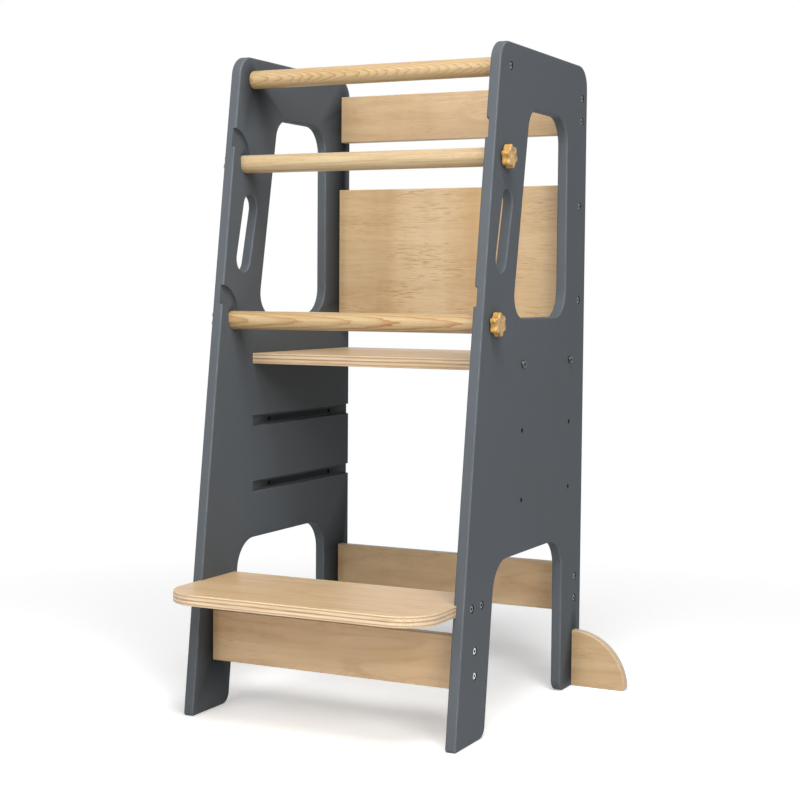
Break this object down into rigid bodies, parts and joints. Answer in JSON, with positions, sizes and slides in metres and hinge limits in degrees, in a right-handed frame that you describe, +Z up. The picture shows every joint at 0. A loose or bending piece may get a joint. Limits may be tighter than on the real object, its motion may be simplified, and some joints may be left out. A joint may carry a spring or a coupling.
{
  "type": "toddler learning tower",
  "caption": "Toddler learning tower with two painted side panels, a platform that sets at several heights, a front step, lift-out guard rails with star knobs, a backrest and stabiliser feet.",
  "frame": {"origin": "on the floor, below the middle of the tower's overall box", "axes": "+X to the right of a person who faces the step, +Y to the back, +Z up"},
  "size_m": [0.5686, 0.517, 0.9],
  "materials": {
    "grey_paint": "satin paint",
    "plywood": "clear lacquer",
    "dowel_wood": "clear lacquer",
    "knob_plastic": "satin",
    "zinc_steel": "bright zinc"
  },
  "bodies": {
    "tower": {"side_panel_left": "grey_paint", "side_panel_right": "grey_paint", "stabiliser_left": "plywood", "stabiliser_right": "plywood", "top_back_slat": "plywood", "backrest_panel": "plywood", "bottom_back_board": "plywood", "front_board": "plywood", "step_board": "plywood", "platform": "plywood", "top_rail": "dowel_wood", "middle_rail": "dowel_wood", "lower_rail": "dowel_wood", "middle_rail_inserts": "zinc_steel", "lower_rail_inserts": "zinc_steel", "top_rail_screws": "zinc_steel", "top_slat_screws": "zinc_steel", "backrest_screws": "zinc_steel", "bottom_board_screws": "zinc_steel", "front_board_screws": "zinc_steel", "step_screws": "zinc_steel", "stabiliser_screws": "zinc_steel", "platform_bolts": "zinc_steel", "platform_inserts": "zinc_steel"},
    "middle_left_stud": {"knob_stud_middle_left": "zinc_steel"},
    "middle_left_knob": {"star_knob_middle_left": "knob_plastic"},
    "middle_right_stud": {"knob_stud_middle_right": "zinc_steel"},
    "middle_right_knob": {"star_knob_middle_right": "knob_plastic"},
    "lower_left_stud": {"knob_stud_lower_left": "zinc_steel"},
    "lower_left_knob": {"star_knob_lower_left": "knob_plastic"},
    "lower_right_stud": {"knob_stud_lower_right": "zinc_steel"},
    "lower_right_knob": {"star_knob_lower_right": "knob_plastic"}
  },
  "joints": [
    {"name": "middle_left_unscrew", "type": "slide", "parent": "tower", "child": "middle_left_stud", "axis": [-1, 0, 0], "range_m": [0, 0.01501]},
    {"name": "middle_left_turn", "type": "hinge", "parent": "middle_left_stud", "child": "middle_left_knob", "pos_m": [-0.2027, -0.04894, 0.7505], "axis": [-1, 0, 0], "range_deg": [0, 4320]},
    {"name": "middle_right_unscrew", "type": "slide", "parent": "tower", "child": "middle_right_stud", "axis": [1, 0, 0], "range_m": [0, 0.01501]},
    {"name": "middle_right_turn", "type": "hinge", "parent": "middle_right_stud", "child": "middle_right_knob", "pos_m": [0.2027, -0.04894, 0.7505], "axis": [1, 0, 0], "range_deg": [0, 4320]},
    {"name": "lower_left_unscrew", "type": "slide", "parent": "tower", "child": "lower_left_stud", "axis": [-1, 0, 0], "range_m": [0, 0.01501]},
    {"name": "lower_left_turn", "type": "hinge", "parent": "lower_left_stud", "child": "lower_left_knob", "pos_m": [-0.2027, -0.08019, 0.5345], "axis": [-1, 0, 0], "range_deg": [0, 4320]},
    {"name": "lower_right_unscrew", "type": "slide", "parent": "tower", "child": "lower_right_stud", "axis": [1, 0, 0], "range_m": [0, 0.01501]},
    {"name": "lower_right_turn", "type": "hinge", "parent": "lower_right_stud", "child": "lower_right_knob", "pos_m": [0.2027, -0.08019, 0.5345], "axis": [1, 0, 0], "range_deg": [0, 4320]}
  ],
  "couplings": [
    {"joint": "middle_left_unscrew", "follows": "middle_left_turn", "m_per_rad": 0.00019894},
    {"joint": "middle_right_unscrew", "follows": "middle_right_turn", "m_per_rad": 0.00019894},
    {"joint": "lower_left_unscrew", "follows": "lower_left_turn", "m_per_rad": 0.00019894},
    {"joint": "lower_right_unscrew", "follows": "lower_right_turn", "m_per_rad": 0.00019894}
  ]
}
